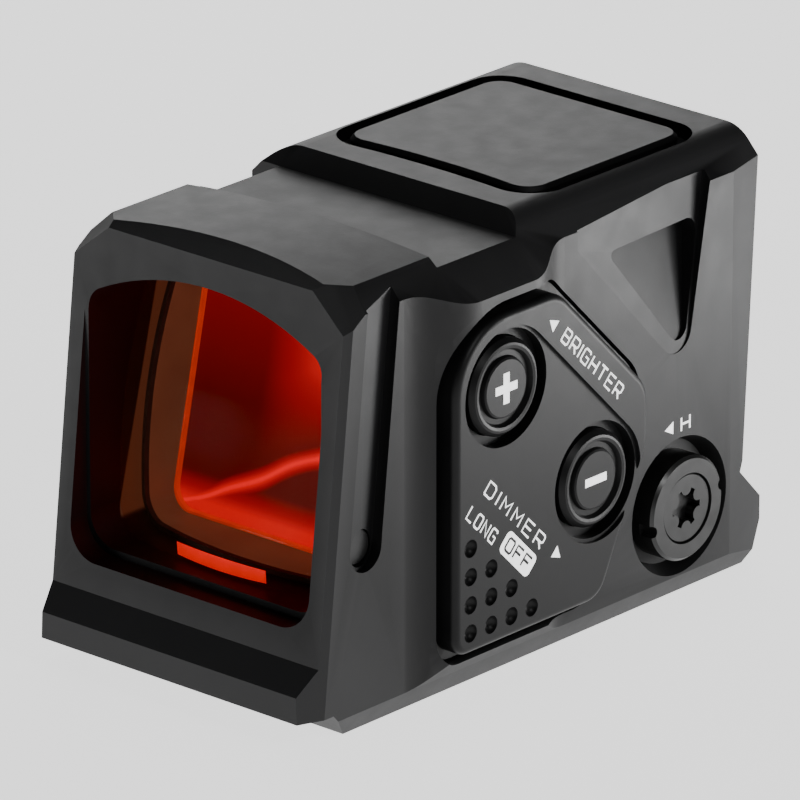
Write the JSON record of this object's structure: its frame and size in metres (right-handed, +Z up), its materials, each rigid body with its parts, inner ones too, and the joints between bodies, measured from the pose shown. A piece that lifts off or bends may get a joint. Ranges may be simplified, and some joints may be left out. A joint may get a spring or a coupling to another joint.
{
  "type": "red dot finder",
  "caption": "Enclosed red dot finder: squared tube with a coated lens, side button pad, star-drive adjusters and a battery cover on the roof.",
  "frame": {"origin": "on the flat underside, on the centre line of the tube's width, about midway along", "axes": "+Y along the bore from the objective to the eye side, +X towards the button pad, +Z up"},
  "size_m": [0.0319, 0.0559, 0.0375],
  "materials": {
    "anodised_body": "bead blasted, hard anodised, satin black",
    "rubber_pad": "moulded silicone, fine matt",
    "seal_rubber": "soft matt",
    "blackened_steel": "black oxide, turned",
    "bright_steel": "rolled, bare",
    "amber_glass": "amber anti-reflection coating",
    "red_glass": "red reflecting coating",
    "orange_rim": "bright ground bevel",
    "clear_glass": "clear, faint green coating",
    "matt_black_plastic": "fine moulded matt",
    "circuit_board": "solder mask",
    "brass_part": "machined",
    "emitter_die": "clear moulded emitter",
    "printed_marks": "pale pad print",
    "insulation": "polyimide film"
  },
  "bodies": {
    "housing": {"base_gasket": "seal_rubber", "base_plate": "anodised_body", "base_screws": "blackened_steel", "battery_contact_minus": "brass_part", "battery_contact_plus": "brass_part", "battery_cover_seal": "seal_rubber", "bay_cover": "matt_black_plastic", "carriage_spring": "bright_steel", "collimator_lens": "red_glass", "collimator_retainer": "matt_black_plastic", "collimator_rim": "orange_rim", "contact_insulator": "insulation", "control_board": "circuit_board", "dome_switches": "bright_steel", "elevation_bushing": "blackened_steel", "elevation_o_ring": "seal_rubber", "elevation_plunger": "bright_steel", "front_lens": "amber_glass", "front_lens_seal": "seal_rubber", "housing": "anodised_body", "keypad_cover": "rubber_pad", "keypad_membrane": "seal_rubber", "lens_cell": "matt_black_plastic", "purge_plug": "blackened_steel", "rear_window": "clear_glass", "rear_window_bezel": "anodised_body", "rear_window_seal": "seal_rubber", "switch_board": "circuit_board", "switch_lead": "insulation", "windage_bushing": "blackened_steel", "windage_o_ring": "seal_rubber", "windage_plunger": "bright_steel"},
    "plus_button": {"plus_button": "rubber_pad"},
    "minus_button": {"minus_button": "rubber_pad"},
    "elevation_screw": {"elevation_screw": "blackened_steel", "elevation_clip": "bright_steel"},
    "elevation_wedge": {"elevation_wedge": "brass_part"},
    "elevation_carriage": {"elevation_carriage": "blackened_steel"},
    "windage_screw": {"windage_screw": "blackened_steel", "windage_clip": "bright_steel"},
    "windage_nut": {"windage_nut": "brass_part"},
    "windage_carriage": {"windage_carriage": "matt_black_plastic", "emitter_board": "circuit_board", "emitter": "emitter_die"},
    "battery_cover": {"battery_cover": "anodised_body", "battery_clip": "bright_steel", "battery": "bright_steel"}
  },
  "joints": [
    {"name": "plus_press", "type": "slide", "parent": "housing", "child": "plus_button", "axis": [-1, 0, 0], "range_m": [0, 0.0004], "stiffness_N_per_m": 2000, "springref_m": -0.0002},
    {"name": "minus_press", "type": "slide", "parent": "housing", "child": "minus_button", "axis": [-1, 0, 0], "range_m": [0, 0.0004], "stiffness_N_per_m": 2000, "springref_m": -0.0002},
    {"name": "elevation_wedge_slide", "type": "slide", "parent": "housing", "child": "elevation_wedge", "axis": [1, 0, 0], "range_m": [-0.0005, 0.0005]},
    {"name": "elevation_turn", "type": "hinge", "parent": "housing", "child": "elevation_screw", "pos_m": [0.0155, 0.0175, 0.008], "axis": [1, 0, 0], "range_deg": [-360, 360]},
    {"name": "elevation_lift", "type": "slide", "parent": "housing", "child": "elevation_carriage", "axis": [0, 0, 1], "range_m": [-0.00025, 0.00025], "deforming": ["carriage_spring"]},
    {"name": "windage_nut_slide", "type": "slide", "parent": "housing", "child": "windage_nut", "axis": [1, 0, 0], "range_m": [-0.00025, 0.00025]},
    {"name": "windage_turn", "type": "hinge", "parent": "housing", "child": "windage_screw", "pos_m": [-0.0155, 0.0175, 0.008], "axis": [-1, 0, 0], "range_deg": [-180, 180]},
    {"name": "windage_shift", "type": "slide", "parent": "elevation_carriage", "child": "windage_carriage", "axis": [1, 0, 0], "range_m": [-0.00025, 0.00025]},
    {"name": "battery_cover_lift", "type": "slide", "parent": "housing", "child": "battery_cover", "axis": [0, 0, 1], "range_m": [0, 0.012]}
  ],
  "couplings": [
    {"joint": "elevation_turn", "follows": "elevation_wedge_slide", "rad_per_m": -12566},
    {"joint": "elevation_lift", "follows": "elevation_wedge_slide", "ratio": -0.5},
    {"joint": "windage_turn", "follows": "windage_nut_slide", "rad_per_m": 12566},
    {"joint": "windage_shift", "follows": "windage_nut_slide", "ratio": 1}
  ]
}
